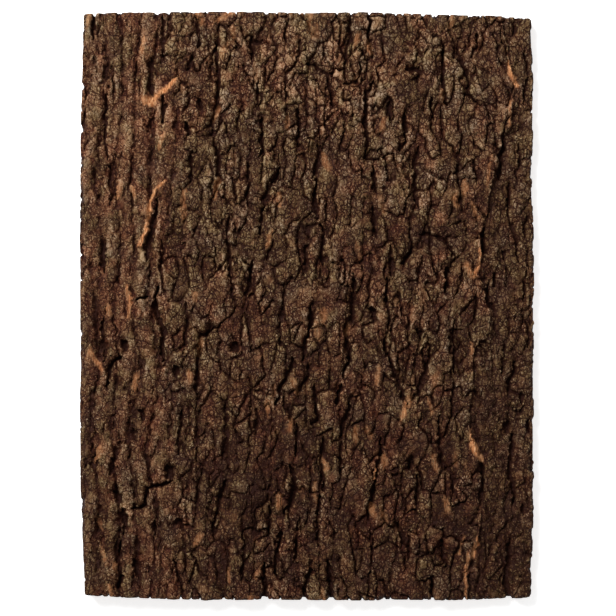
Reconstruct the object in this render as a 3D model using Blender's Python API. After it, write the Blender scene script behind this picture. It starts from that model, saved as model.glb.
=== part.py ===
# Cork bark slab
#
# One slab of raw cork as it is stripped from the tree: cut square to a panel, flat on its back, and
# rough on its face with the bark's deep lengthwise fissures and scaly plates. It grew as one piece, so
# it is one solid. It lies on its back with the bark up: +Y runs along the grain, +X across it.

import math

import bpy
import bmesh
import numpy as np

MM = 0.001

# Driving dimensions
SLAB_WIDTH = 449 * MM
SLAB_LENGTH = 580 * MM
BARK_LEVEL = 21.0 * MM
CORNER_RADIUS = 2.5 * MM
RIM_WEAR = 1.4 * MM
RIM_WEAR_WIDTH = 3 * MM

# The face is modelled on a fine grid, and then thinned to the triangles that its relief needs
GRID_STEP = 1.6 * MM
FACE_TRIANGLES = 10400

# Crests flatten out and fissures fill up towards these heights above and below the bark's level
CREST_LIMIT = 11 * MM
HOLLOW_LIMIT = 30 * MM

# The slow rise and fall of the whole face, and the lumps on it
SWELL_HEIGHT = 1.3 * MM
SWELL_SIZE = (130 * MM, 210 * MM)
LUMP_HEIGHT = 4.6 * MM
LUMP_SIZE = (17 * MM, 52 * MM)

# Scales, long along the grain, each made of a few cells of this size
CELL_SIZE = (11 * MM, 22 * MM)
CELL_KINDS = 3
SCALE_STEP = 1.7 * MM
SCALE_LEAN = 2.2 * MM
SCALE_CROWN = 2.0 * MM
GROOVE_DEPTH = 2.4 * MM
GROOVE_WIDTH = 1.7 * MM

# Lengthwise ridges of the left side, where the bark is fibrous and has no scales
RIDGE_WIDTH = 19 * MM
RIDGE_HEIGHT = 3.0 * MM
RIDGES_END = -138 * MM
RIDGES_BLEND = 22 * MM

# The strip along the right side, where the outer bark broke away and left the smoother bark below
STRIP_DROP = 4.0 * MM
STRIP_RELIEF = 0.6
STEP_WIDTH = 1.5 * MM

BARK_COLOUR = (0.059, 0.027, 0.014, 1.0)
BARK_ROUGHNESS = 0.85

# Places below were read from the photograph, in its pixels. This is the slab's box there
PHOTO_LEFT = 80
PHOTO_RIGHT = 534
PHOTO_TOP = 12
PHOTO_BOTTOM = 600

# The line where the outer bark ends, from the slab's top edge to its bottom edge
STEP_LINE = (
    (502, 8), (510, 45), (514, 80), (510, 122), (499, 160), (485, 215), (478, 278),
    (489, 308), (490, 330), (472, 352), (471, 400), (469, 428), (482, 470), (480, 525), (468, 562),
    (468, 606),
)

# The sawn sides, each waving a little about a straight line
LEFT_SIDE = ((85, 8), (82, 133), (80, 253), (82, 373), (80, 397), (82, 493), (86, 600))
RIGHT_SIDE = ((530, 8), (534, 90), (531, 170), (534, 240), (534, 350), (532, 500), (530, 600))
TOP_SIDE = ((80, 15), (106, 14), (250, 12), (311, 14), (370, 13), (442, 16), (490, 17), (534, 19))
BOTTOM_SIDE = ((80, 594), (140, 597), (200, 600), (262, 598), (332, 599), (400, 600), (470, 600), (534, 597))

# Main fissures, each as its width and depth in millimetres and its path
FISSURES = (
    (4.0, 7.5, ((214, 42), (217, 75), (217, 105), (211, 136), (219, 162), (218, 186), (211, 199))),
    (4.5, 8.0, ((158, 198), (153, 228), (146, 251), (147, 262))),
    (3.5, 7.0, ((158, 284), (155, 300), (163, 332), (162, 363))),
    (3.0, 6.0, ((228, 214), (228, 240), (231, 285), (233, 300))),
    (3.0, 7.0, ((307, 60), (327, 74), (332, 106))),
    (3.0, 7.0, ((369, 10), (370, 44), (373, 80), (365, 110), (368, 146), (364, 160))),
    (3.0, 7.0, ((374, 166), (376, 193), (374, 225), (376, 238))),
    (3.0, 7.0, ((251, 35), (250, 58))),
    (3.0, 6.0, ((300, 38), (293, 66), (284, 98))),
    (3.0, 7.0, ((297, 107), (298, 145))),
    (3.0, 7.0, ((261, 118), (262, 148), (249, 160), (248, 180), (250, 207))),
    (4.5, 8.0, ((279, 168), (267, 193), (262, 222), (260, 236))),
    (3.5, 7.0, ((319, 143), (312, 178), (315, 196), (322, 222), (323, 240), (322, 268))),
    (3.0, 6.0, ((343, 258), (345, 280), (353, 274), (352, 318), (347, 342), (349, 357), (343, 379))),
    (4.0, 8.0, ((341, 382), (336, 406))),
    (3.5, 7.0, ((350, 400), (343, 424), (339, 437))),
    (3.5, 6.5, ((283, 285), (279, 330), (281, 346))),
    (3.5, 7.0, ((312, 305), (307, 333), (303, 361), (308, 376), (298, 400))),
    (3.5, 7.0, ((293, 358), (284, 380), (276, 406))),
    (3.5, 7.0, ((315, 384), (317, 416), (313, 430))),
    (3.0, 6.0, ((273, 240), (252, 262), (249, 287), (245, 298))),
    (3.0, 6.0, ((387, 276), (389, 320), (386, 357), (398, 383), (408, 403))),
    (3.0, 6.0, ((429, 340), (426, 366), (411, 401))),
    (3.0, 7.0, ((443, 42), (443, 68), (447, 104))),
    (3.0, 6.0, ((418, 64), (418, 80))),
    (3.0, 7.0, ((405, 110), (405, 140), (399, 150))),
    (3.0, 7.0, ((430, 94), (434, 119))),
    (5.0, 8.0, ((419, 145), (416, 162), (418, 206))),
    (3.0, 6.0, ((459, 146), (462, 208))),
    (3.0, 6.0, ((391, 244), (391, 276))),
    (3.0, 6.5, ((413, 247), (401, 262))),
    (3.0, 6.0, ((420, 232), (438, 234), (455, 256), (447, 264), (445, 290))),
    (3.5, 7.0, ((214, 329), (199, 338), (196, 370), (196, 398))),
    (3.0, 6.0, ((182, 410), (177, 455))),
    (3.0, 6.5, ((172, 480), (148, 488), (144, 506), (130, 511))),
    (3.5, 7.0, ((226, 404), (226, 440), (226, 480), (217, 511), (212, 541))),
    (5.0, 8.5, ((288, 464), (295, 479), (289, 503), (283, 517), (277, 542), (275, 580))),
    (3.0, 6.5, ((322, 436), (322, 474), (319, 497), (317, 546))),
    (3.0, 6.0, ((340, 440), (340, 476))),
    (3.0, 6.0, ((242, 530), (241, 582))),
    (3.5, 7.0, ((263, 564), (261, 606))),
    (4.0, 7.5, ((310, 567), (301, 606))),
    (3.5, 7.0, ((328, 558), (333, 606))),
    (3.0, 6.5, ((380, 438), (374, 468), (368, 521), (371, 562), (369, 606))),
    (3.0, 6.0, ((439, 410), (442, 460), (454, 491), (458, 501))),
    (3.5, 6.5, ((411, 454), (417, 474), (418, 506))),
    (3.0, 6.0, ((386, 524), (402, 538), (410, 563))),
    (3.0, 6.0, ((433, 578), (435, 606))),
    (6.0, 5.0, ((150, 58), (151, 96))),
    (5.0, 6.0, ((192, 56), (186, 70))),
    (4.0, 6.5, ((162, 95), (161, 124))),
    (3.0, 6.0, ((191, 150), (190, 184))),
    (3.5, 6.0, ((103, 318), (103, 362))),
    (3.5, 6.5, ((122, 358), (109, 376), (107, 392))),
    (4.0, 6.0, ((121, 442), (110, 480))),
    (4.0, 6.5, ((176, 518), (180, 530))),
    (3.0, 6.5, ((503, 138), (501, 178))),
    (3.0, 6.5, ((512, 180), (508, 206), (517, 238), (518, 262))),
    (4.0, 6.5, ((484, 225), (482, 250))),
    (3.5, 6.5, ((516, 361), (509, 379), (509, 390), (517, 394))),
    (4.0, 7.0, ((512, 433), (509, 473), (514, 484), (513, 507))),
    (4.5, 7.5, ((511, 540), (508, 582), (512, 606))),
)


def clear_scene():
    for old in list(bpy.data.objects):
        bpy.data.objects.remove(old, do_unlink=True)


def ease(share):
    share = np.clip(share, 0.0, 1.0)
    return share * share * (3.0 - 2.0 * share)


def scatter(column, row, seed):
    # An even, repeatable number from 0 to 1 for each cell of a grid
    mask = 0xFFFFFFFF
    mixed = (column.astype(np.int64) * 374761393 + row.astype(np.int64) * 668265263 + seed * 974634777) & mask
    mixed = ((mixed ^ (mixed >> 13)) * 1274126177) & mask
    mixed = mixed ^ (mixed >> 16)
    return (mixed & 0xFFFFFF) / 0xFFFFFF


def swell(x, y, size, seed):
    # Smooth bumps of the given size, from -1 to 1
    across, along = x / size[0], y / size[1]
    column, row = np.floor(across), np.floor(along)
    u, v = ease(across - column), ease(along - row)
    low = scatter(column, row, seed) * (1 - u) + scatter(column + 1, row, seed) * u
    high = scatter(column, row + 1, seed) * (1 - u) + scatter(column + 1, row + 1, seed) * u
    return 2 * (low * (1 - v) + high * v) - 1


def rough(x, y, size, seed, octaves=3, fade=0.5):
    # Bumps on bumps, each octave half the size of the last and turned a little
    total, share, whole = 0.0, 1.0, 0.0
    stretch = size[0] / size[1]
    for octave in range(octaves):
        turn = 0.4 * octave
        turned_x = x * math.cos(turn) - y * stretch * math.sin(turn)
        turned_y = x / stretch * math.sin(turn) + y * math.cos(turn)
        finer = (size[0] / 2 ** octave, size[1] / 2 ** octave)
        total = total + share * swell(turned_x, turned_y, finer, seed + octave)
        whole += share
        share *= fade
    return total / whole


def shake(number, factor):
    # Another number from 0 to 1 for the same cell
    return np.modf(number * factor)[0]


def scales(x, y):
    # Irregular scales with uneven grooves between. Each is made of a few cells of one kind, run together
    across, along = x / CELL_SIZE[0], y / CELL_SIZE[1]
    column, row = np.floor(across), np.floor(along)
    nearest = np.full(x.shape, np.inf)
    near_u, near_v, mark = (np.zeros(x.shape) for _ in range(3))
    cells = []
    for row_shift in (-1, 0, 1):
        for column_shift in (-1, 0, 1):
            c, r = column + column_shift, row + row_shift
            u = c + scatter(c, r, 21)
            v = r + scatter(c, r, 22)
            number = scatter(c, r, 23)
            cells.append((u, v, number))
            reach = (u - across) ** 2 + (v - along) ** 2
            wins = reach < nearest
            nearest = np.where(wins, reach, nearest)
            near_u = np.where(wins, u, near_u)
            near_v = np.where(wins, v, near_v)
            mark = np.where(wins, number, mark)
    kind = np.floor(mark * CELL_KINDS)
    border = np.full(x.shape, CELL_SIZE[0])
    for u, v, number in cells:
        du, dv = u - near_u, v - near_v
        gap = ((near_u + u) / 2 - across) * du + ((near_v + v) / 2 - along) * dv
        gap = gap / np.sqrt((du / CELL_SIZE[0]) ** 2 + (dv / CELL_SIZE[1]) ** 2 + 1e-9)
        border = np.where(np.floor(number * CELL_KINDS) != kind, np.minimum(border, gap), border)
    lean = (across - near_u) * (2 * shake(mark, 89.0) - 1) + (along - near_v) * (2 * shake(mark, 97.0) - 1)
    openness = ease(0.8 + 1.2 * swell(x, y, (CELL_SIZE[0] * 0.8, CELL_SIZE[1] * 0.8), 29))
    groove = ease(1 - border / GROOVE_WIDTH) * openness
    rounded = 1 - (1 - np.clip(border / (0.4 * CELL_SIZE[0]), 0, 1)) ** 2
    rank = 2 * kind / (CELL_KINDS - 1) - 1
    return SCALE_STEP * rank + SCALE_LEAN * lean + SCALE_CROWN * rounded - GROOVE_DEPTH * groove


def on_slab(points):
    # Places in the photograph's pixels, as places on the slab
    pixels = np.array(points, dtype=float)
    x = (pixels[:, 0] - (PHOTO_LEFT + PHOTO_RIGHT) / 2) * SLAB_WIDTH / (PHOTO_RIGHT - PHOTO_LEFT)
    y = ((PHOTO_TOP + PHOTO_BOTTOM) / 2 - pixels[:, 1]) * SLAB_LENGTH / (PHOTO_BOTTOM - PHOTO_TOP)
    return x, y


def across_at(line, y):
    # The x of a lengthwise line at each y
    line_x, line_y = on_slab(line)
    return np.interp(y, line_y[::-1], line_x[::-1])


def along_at(line, x):
    # The y of a crosswise line at each x
    line_x, line_y = on_slab(line)
    return np.interp(x, line_x, line_y)


def distance_to_path(x, y, points):
    path_x, path_y = on_slab(points)
    nearest = np.full(x.shape, np.inf)
    for i in range(len(points) - 1):
        run_x, run_y = path_x[i + 1] - path_x[i], path_y[i + 1] - path_y[i]
        share = ((x - path_x[i]) * run_x + (y - path_y[i]) * run_y) / (run_x ** 2 + run_y ** 2)
        share = np.clip(share, 0.0, 1.0)
        gap = np.sqrt((x - path_x[i] - share * run_x) ** 2 + (y - path_y[i] - share * run_y) ** 2)
        nearest = np.minimum(nearest, gap)
    return nearest


def ridges(x, y, torn_x):
    # Round-topped lengthwise ridges with sharp valleys
    phase = torn_x + 6 * MM * swell(x, y, (40 * MM, 70 * MM), 31)
    phase = phase / RIDGE_WIDTH + 0.8 * rough(x, y, (45 * MM, 110 * MM), 32, 2)
    return RIDGE_HEIGHT * (2 * np.sqrt(np.abs(np.sin(math.pi * phase))) - 1)


def fissures(x, y, torn_x, torn_y):
    # How deep the main fissures cut: a steep sided groove along each path, with a rounded shoulder
    cut = np.zeros(x.shape)
    shoulder = np.zeros(x.shape)
    uneven = 1 + 0.7 * swell(x, y, (5 * MM, 8 * MM), 201)
    for width, depth, points in FISSURES:
        gap = distance_to_path(torn_x, torn_y, points)
        reach = (width * 0.5 * uneven + 1.4) * MM
        cut = np.maximum(cut, depth * MM * ease(1.3 * (1 - gap / reach)))
        shoulder = np.maximum(shoulder, 0.45 * depth * MM * ease(1 - gap / (reach + 6 * MM)))
    return cut + shoulder


def face_height(x, y, rim):
    # The height of the bark above the slab's back. The rim is each point's distance from the sawn sides
    torn_x = x + 1.8 * MM * rough(x, y, (7 * MM, 9 * MM), 61, 4, 0.65)
    torn_y = y + 2.4 * MM * rough(x, y, (7 * MM, 9 * MM), 71, 4, 0.65)
    bent_x = torn_x + 5 * MM * rough(x, y, (22 * MM, 30 * MM), 11, 2)
    bent_y = torn_y + 8 * MM * rough(x, y, (22 * MM, 30 * MM), 13, 2)
    lumps = LUMP_HEIGHT * rough(bent_x, bent_y, LUMP_SIZE, 15, 3, 0.5)
    scaly = lumps + scales(bent_x, bent_y)
    fibrous = ease(0.5 + (RIDGES_END - x + 14 * MM * swell(x, y, (60 * MM, 60 * MM), 5)) / RIDGES_BLEND)
    stripped = ease((torn_x - across_at(STEP_LINE, torn_y)) / STEP_WIDTH)
    relief = scaly * (1 - fibrous) + ridges(x, y, torn_x) * fibrous
    relief = relief * (1 - stripped) + (STRIP_RELIEF * scaly - STRIP_DROP) * stripped
    relief = relief + SWELL_HEIGHT * swell(x, y, SWELL_SIZE, 51) - fissures(x, y, torn_x, torn_y)
    limited = np.where(relief > 0, relief / (1 + relief / CREST_LIMIT), relief / (1 - relief / HOLLOW_LIMIT))
    return BARK_LEVEL + limited - RIM_WEAR * ease(1 - rim / RIM_WEAR_WIDTH)


def outline(u, v):
    # Grid places from 0 to 1 as places on the slab, inside its waving sides and rounded corners
    x = (u - 0.5) * SLAB_WIDTH
    y = (v - 0.5) * SLAB_LENGTH
    corner_x = np.maximum(np.abs(x) - SLAB_WIDTH / 2 + CORNER_RADIUS, 0.0)
    corner_y = np.maximum(np.abs(y) - SLAB_LENGTH / 2 + CORNER_RADIUS, 0.0)
    reach = np.sqrt(corner_x ** 2 + corner_y ** 2)
    pull = np.where(reach > 0, np.maximum(corner_x, corner_y) / np.maximum(reach, 1e-9), 1.0)
    x = x - np.sign(x) * corner_x * (1 - pull)
    y = y - np.sign(y) * corner_y * (1 - pull)
    share_x = x / SLAB_WIDTH + 0.5
    share_y = y / SLAB_LENGTH + 0.5
    side_x = across_at(LEFT_SIDE, y) * (1 - share_x) + across_at(RIGHT_SIDE, y) * share_x
    side_y = along_at(BOTTOM_SIDE, x) * (1 - share_y) + along_at(TOP_SIDE, x) * share_y
    return side_x, side_y


def model_face():
    # The bark's face, as an open sheet at its height above the back
    columns = round(SLAB_WIDTH / GRID_STEP)
    rows = round(SLAB_LENGTH / GRID_STEP)
    bpy.ops.mesh.primitive_grid_add(x_subdivisions=columns, y_subdivisions=rows, size=1)
    face = bpy.context.object
    flat = np.empty(len(face.data.vertices) * 3)
    face.data.vertices.foreach_get("co", flat)
    flat = flat.reshape(-1, 3)
    u, v = flat[:, 0] + 0.5, flat[:, 1] + 0.5
    x, y = outline(u, v)
    rim = np.minimum(np.minimum(u, 1 - u) * SLAB_WIDTH, np.minimum(v, 1 - v) * SLAB_LENGTH)
    height = face_height((u - 0.5) * SLAB_WIDTH, (v - 0.5) * SLAB_LENGTH, rim)
    placed = np.stack([x, y, height], axis=1)
    face.data.vertices.foreach_set("co", placed.ravel())
    thin = face.modifiers.new("Thin to the relief", "DECIMATE")
    thin.ratio = FACE_TRIANGLES / (2 * columns * rows)
    thin.use_collapse_triangulate = True
    bpy.ops.object.modifier_apply(modifier=thin.name)
    return face


def close_slab(face):
    # The sawn sides drop from the face's rim to the flat back, and the slab is centred on its origin
    mesh = bmesh.new()
    mesh.from_mesh(face.data)
    rim_edges = [edge for edge in mesh.edges if edge.is_boundary]
    sides = bmesh.ops.extrude_edge_only(mesh, edges=rim_edges)["geom"]
    for item in sides:
        if isinstance(item, bmesh.types.BMVert):
            item.co.z = 0.0
    back_edges = [edge for edge in mesh.edges if edge.is_boundary]
    back = bmesh.ops.contextual_create(mesh, geom=back_edges)["faces"]
    bmesh.ops.triangulate(mesh, faces=back)
    bmesh.ops.recalc_face_normals(mesh, faces=mesh.faces)
    xs = [vertex.co.x for vertex in mesh.verts]
    ys = [vertex.co.y for vertex in mesh.verts]
    middle = (-(min(xs) + max(xs)) / 2, -(min(ys) + max(ys)) / 2, 0.0)
    bmesh.ops.translate(mesh, vec=middle, verts=mesh.verts)
    mesh.to_mesh(face.data)
    mesh.free()


def bark_material():
    material = bpy.data.materials.new("cork_bark")
    material.use_nodes = True
    shader = material.node_tree.nodes["Principled BSDF"]
    shader.inputs["Base Color"].default_value = BARK_COLOUR
    shader.inputs["Roughness"].default_value = BARK_ROUGHNESS
    shader.inputs["Metallic"].default_value = 0.0
    return material


def main():
    clear_scene()
    slab = model_face()
    close_slab(slab)
    slab.name = "cork_bark_slab"
    slab.data.name = "cork_bark_slab"
    slab.data.shade_flat()
    slab.data.materials.append(bark_material())
    parts = bpy.data.collections.new("cork_bark_slab")
    bpy.context.scene.collection.children.link(parts)
    for holder in list(slab.users_collection):
        holder.objects.unlink(slab)
    parts.objects.link(slab)


main()
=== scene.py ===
# Cork bark slab: its weathered bark face, sawn cork sides and flat cork back
#
# The slab lies on its back with the bark up, and the camera looks straight down on it. The face keeps
# the plates, ridges, main fissures and step of the slab's solid, and adds scales, cracks and flakes.

import math
from types import SimpleNamespace

import bpy
import numpy as np
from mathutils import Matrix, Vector


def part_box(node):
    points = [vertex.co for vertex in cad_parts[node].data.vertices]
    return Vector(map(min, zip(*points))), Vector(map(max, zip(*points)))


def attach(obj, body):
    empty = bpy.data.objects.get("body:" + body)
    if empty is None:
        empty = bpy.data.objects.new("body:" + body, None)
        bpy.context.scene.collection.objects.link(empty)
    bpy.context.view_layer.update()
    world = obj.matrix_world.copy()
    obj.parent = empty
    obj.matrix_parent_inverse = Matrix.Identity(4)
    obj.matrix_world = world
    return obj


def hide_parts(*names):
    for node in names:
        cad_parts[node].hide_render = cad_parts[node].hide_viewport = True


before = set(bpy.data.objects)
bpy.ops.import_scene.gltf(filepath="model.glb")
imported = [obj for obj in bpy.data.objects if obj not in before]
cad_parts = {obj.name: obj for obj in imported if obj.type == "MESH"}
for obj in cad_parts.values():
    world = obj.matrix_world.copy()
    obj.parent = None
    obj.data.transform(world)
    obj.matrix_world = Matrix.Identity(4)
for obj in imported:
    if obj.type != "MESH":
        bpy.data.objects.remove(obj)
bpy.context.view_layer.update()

MM = 0.001
SLAB = "cork_bark_slab"
slab_low, slab_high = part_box(SLAB)
SLAB_WIDTH = slab_high[0] - slab_low[0]
SLAB_LENGTH = slab_high[1] - slab_low[1]
SLAB_TOP = slab_high[2]

# The face: its middle level above the back, the grid it is modelled on, and the triangles it keeps
BARK_LEVEL = 20.5 * MM
FACE_STEP = 0.9 * MM
FACE_TRIANGLES = 168000
CORNER_RADIUS = 2.5 * MM
RIM_WEAR = 1.4 * MM
RIM_WEAR_WIDTH = 3 * MM

# How far round a point its hollow, its crevice and its crest are measured
HOLLOW_SPAN = 13 * MM
CREVICE_SPAN = 5.6 * MM
CREST_SPAN = 1.6 * MM

# The back, and the sides, whose rings are at these shares of the rim's height
BACK_STEP = 2.0 * MM
BACK_TRIANGLES = 9000
BACK_EDGE = 2.0 * MM
BACK_MARGIN = 4 * MM
SIDE_RINGS = (0.84, 0.68, 0.52, 0.36, 0.2, 0.05)
PORE_DEPTH = 0.9 * MM
SAW_MARKS = 0.25 * MM
SMOOTH_ANGLE = 75

# Where cracks run out through a side, and where bits of its rim are chipped off
NICK_DEPTH = 1.8 * MM
NICK_HEIGHT = 5.0 * MM
NICK_REACH = 7.0 * MM
RIM_SPAN = 12 * MM
RIM_CHIP = 0.4 * MM
TORN_RIM_CHIP = 1.2 * MM

# The left side is fibrous and has no plates, and past the step line the outer bark is missing
FIBRE_END = -138 * MM
FIBRE_BLEND = 22 * MM
FIBRE_WANDER = 14 * MM
RIDGE_WIDTH = 19 * MM
STEP_WIDTH = 1.5 * MM
STRIP_DROP = 4.0

# Heights in the relief, in millimetres. The limits squeeze the highest crests and the deepest cracks
LUMP_HEIGHT = 4.6
RIDGE_HEIGHT = 3.4
STRAND_HEIGHT = 0.5
CRUMB_HEIGHT = 0.5
CRACK_DEPTH = 3.4
RAW_CORK_HEIGHT = 1.3
WARP_HEIGHT = 1.3
MEAN_HEIGHT = 1.0
CREST_LIMIT = 11.0
HOLLOW_LIMIT = 30.0

# Sizes in the relief, across and along the grain
TEARS = (7 * MM, 9 * MM)
FINE_TEARS = (2.8 * MM, 3 * MM)
BENDS = (22 * MM, 30 * MM)
LUMPS = (17 * MM, 52 * MM)
BIG_SCALES = (11 * MM, 22 * MM)
MIDDLE_SCALES = (6 * MM, 9 * MM)
SMALL_SCALES = (3 * MM, 4.2 * MM)
BARE_SCALES = (9 * MM, 15 * MM)
LOOSE_FLAKES = (7 * MM, 11 * MM)
CRUMBS = (2.6 * MM, 3.4 * MM)
SPLINTS = (8 * MM, 30 * MM)
SPLINTERS = (3.6 * MM, 12 * MM)
STRANDS = (2.4 * MM, 22 * MM)
CRACKS = (16 * MM, 75 * MM)
WARP = (130 * MM, 210 * MM)
SCALE_KINDS = 3

# How wide a fissure's sunken flank and a sliver's warm edge are, and how far from its path each is worked
# out
FISSURE_FLANK = 8 * MM
FISSURE_REACH = 14 * MM
SLIVER_EDGE = 5 * MM
SLIVER_REACH = 12 * MM

# Sizes in the materials. The cork's grit and a hair crack are finer in the real bark, about 0.5 mm and
# 0.2 mm, and are drawn as coarse as a pixel of the picture needs, which is 1 mm of the slab
FLECK_AND_GLINT_SIZE = 1.1 * MM
GRAIN_SIZE = 1.2 * MM
DUST_SIZE = 1.0 * MM
CRACK_WIDTH = 0.55 * MM
PLATE_CRACKS = 7.0 * MM
CRUMB_CRACKS = 3.4 * MM
FIBRE_SIZE = 1.2 * MM
STREAK_SIZE = 1.6 * MM
MOTTLE_SIZE = 4.5 * MM
COARSE_SIZE = 7 * MM
STAIN_SIZE = 11 * MM
LICHEN_SIZE = 24 * MM
GROWTH_BAND = 2.2 * MM
SIDE_PORE = 2.6 * MM
BACK_PORE = 4 * MM
BACK_STREAK = 5 * MM
SAWN_GRAIN = 1.1 * MM

# Bark's colours at its tones from the dark of a crack, at 0, to the palest crest, at 1
BARK_TONES = (0.0, 0.25, 0.5, 0.75, 1.0)
BARK_COLOURS = {
    "grey": ("#280e05", "#3f2415", "#553c28", "#765d44", "#9c856f"),
    "olive": ("#280f04", "#3f2512", "#563d23", "#785f3f", "#a08766"),
    "rusty": ("#2e0d03", "#492211", "#603a24", "#875c3f", "#b08a6c"),
}

# Sockets of a Mix node that mixes colours: how much of the second, the first, the second, and the result
SHARE, FIRST, SECOND, MIXED = 0, 6, 7, 2

# The stage
FLOOR_SIZE = 6
FLOOR_GLOW = 0.67
FLOOR_DROP = 0.2 * MM
ROOM_LIGHT = 0.3
LAMP_SIZE = 1.0
LAMP_POWER = 60
LAMP_PLACE = (-0.9, 1.12, 1.65)
CAMERA_HEIGHT = 2.4
VIEW_DEPTH = 20
RIM_LEVEL = 16.5 * MM

# Large odd numbers that mix a cell's column, row and seed into its own number
COLUMN_MIXER = 374761393
ROW_MIXER = 668265263
SEED_MIXER = 974634777
LAST_MIXER = 1274126177
OCTAVE_TURN = 0.4

# Places read from the photograph are in its pixels. This is its size, and the slab's box in it
PHOTO_SIZE = 616
PHOTO_LEFT = 80
PHOTO_RIGHT = 534
PHOTO_TOP = 12
PHOTO_BOTTOM = 600

# The sawn sides, each waving a little about a straight line
LEFT_SIDE = ((84, 8), (81, 133), (80, 253), (81, 373), (80, 397), (81, 493), (85, 600))
RIGHT_SIDE = ((531, 8), (534, 90), (532, 170), (534, 240), (534, 350), (534, 500), (531, 600))
TOP_SIDE = ((80, 14), (106, 13), (250, 12), (311, 13), (370, 12), (442, 15), (490, 16), (534, 18))
BOTTOM_SIDE = (
    (80, 595), (140, 598), (200, 600), (262, 599), (332, 600), (400, 600), (470, 600), (534, 598),
)

# The line where the outer bark ends, from the slab's top edge to its bottom edge
STEP_LINE = (
    (502, 8), (505, 30), (509, 45), (510, 60), (514, 80), (511, 98), (510, 122), (502, 140),
    (499, 160), (491, 190), (485, 215), (481, 238), (481, 255), (478, 278), (487, 290), (489, 308),
    (490, 330), (474, 348), (471, 362), (473, 384), (469, 404), (469, 428), (477, 455), (482, 470),
    (481, 488), (479, 503), (480, 525), (475, 545), (469, 562), (468, 608),
)

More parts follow.
